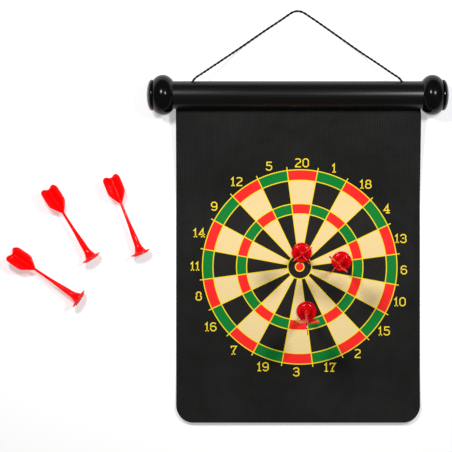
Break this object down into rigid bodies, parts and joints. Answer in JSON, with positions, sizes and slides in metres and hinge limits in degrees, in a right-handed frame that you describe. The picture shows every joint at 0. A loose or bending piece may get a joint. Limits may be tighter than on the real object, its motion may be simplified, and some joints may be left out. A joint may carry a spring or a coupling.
{
  "type": "roll-up magnetic dartboard",
  "caption": "Flexible printed dartboard on a winding tube with ball knobs and a hanging cord, with flanged magnetic darts.",
  "frame": {"origin": "under the centre of the dartboard print, on the plane that the board lies on", "axes": "+X right along the tube, +Y up the board towards the tube and cord, +Z out of the printed face"},
  "size_m": [0.5054, 0.4757, 0.0986],
  "materials": {
    "tube": "gloss black",
    "knob": "gloss black",
    "end_cap": "gloss black",
    "board": "fine ribbed black with a coloured print",
    "cord": "twisted black cord",
    "dart": "gloss red, slightly translucent",
    "magnet": "dark ferrite",
    "steel": "zinc plated"
  },
  "bodies": {
    "tube": {"housing_tube": "tube", "hanging_cord": "cord", "cord_knots": "cord", "mat_run": "board"},
    "spindle": {"spindle_rod": "steel", "mat_anchor_turn": "board", "mat_clamp_strip": "steel", "clamp_screws": "steel", "left_knob": "knob", "right_knob": "knob", "left_end_cap": "end_cap", "right_end_cap": "end_cap", "left_knob_screw": "steel", "right_knob_screw": "steel", "left_screw_washer": "steel", "right_screw_washer": "steel"},
    "board": {"mat_sheet": "board"},
    "board_ramp": {"mat_ramp": "board"},
    "dart_1": {"dart_1_body": "dart", "dart_1_magnet": "magnet"},
    "dart_2": {"dart_2_body": "dart", "dart_2_magnet": "magnet"},
    "dart_3": {"dart_3_body": "dart", "dart_3_magnet": "magnet"},
    "dart_4": {"dart_4_body": "dart", "dart_4_magnet": "magnet"},
    "dart_5": {"dart_5_body": "dart", "dart_5_magnet": "magnet"},
    "dart_6": {"dart_6_body": "dart", "dart_6_magnet": "magnet"}
  },
  "joints": [
    {"name": "spindle_turn", "type": "hinge", "parent": "tube", "child": "spindle", "pos_m": [0, 0.1966, 0.0233], "axis": [1, 0, 0], "range_deg": [0, 895.2], "deforming": ["mat_run"]},
    {"name": "board_wind", "type": "slide", "parent": "tube", "child": "board", "axis": [0, 1, 0], "range_m": [0, 0.1001]},
    {"name": "board_fold", "type": "hinge", "parent": "board", "child": "board_ramp", "pos_m": [0, 0.031, 0.0008], "axis": [1, 0, 0], "range_deg": [0, 16.8]},
    {"name": "dart_1_lift", "type": "slide", "parent": "board", "child": "dart_1", "axis": [0, 0, 1], "range_m": [0, 0.12]},
    {"name": "dart_2_lift", "type": "slide", "parent": "board", "child": "dart_2", "axis": [0, 0, 1], "range_m": [0, 0.12]},
    {"name": "dart_3_lift", "type": "slide", "parent": "board", "child": "dart_3", "axis": [0, 0, 1], "range_m": [0, 0.12]},
    {"name": "dart_4_lift", "type": "slide", "parent": "tube", "child": "dart_4", "axis": [0, 0, 1], "range_m": [0, 0.12]},
    {"name": "dart_5_lift", "type": "slide", "parent": "tube", "child": "dart_5", "axis": [0, 0, 1], "range_m": [0, 0.12]},
    {"name": "dart_6_lift", "type": "slide", "parent": "tube", "child": "dart_6", "axis": [0, 0, 1], "range_m": [0, 0.12]}
  ],
  "couplings": [
    {"joint": "board_wind", "follows": "spindle_turn", "m_per_rad": 0.0064},
    {"joint": "board_fold", "follows": "spindle_turn", "ratio": 0.018609}
  ]
}
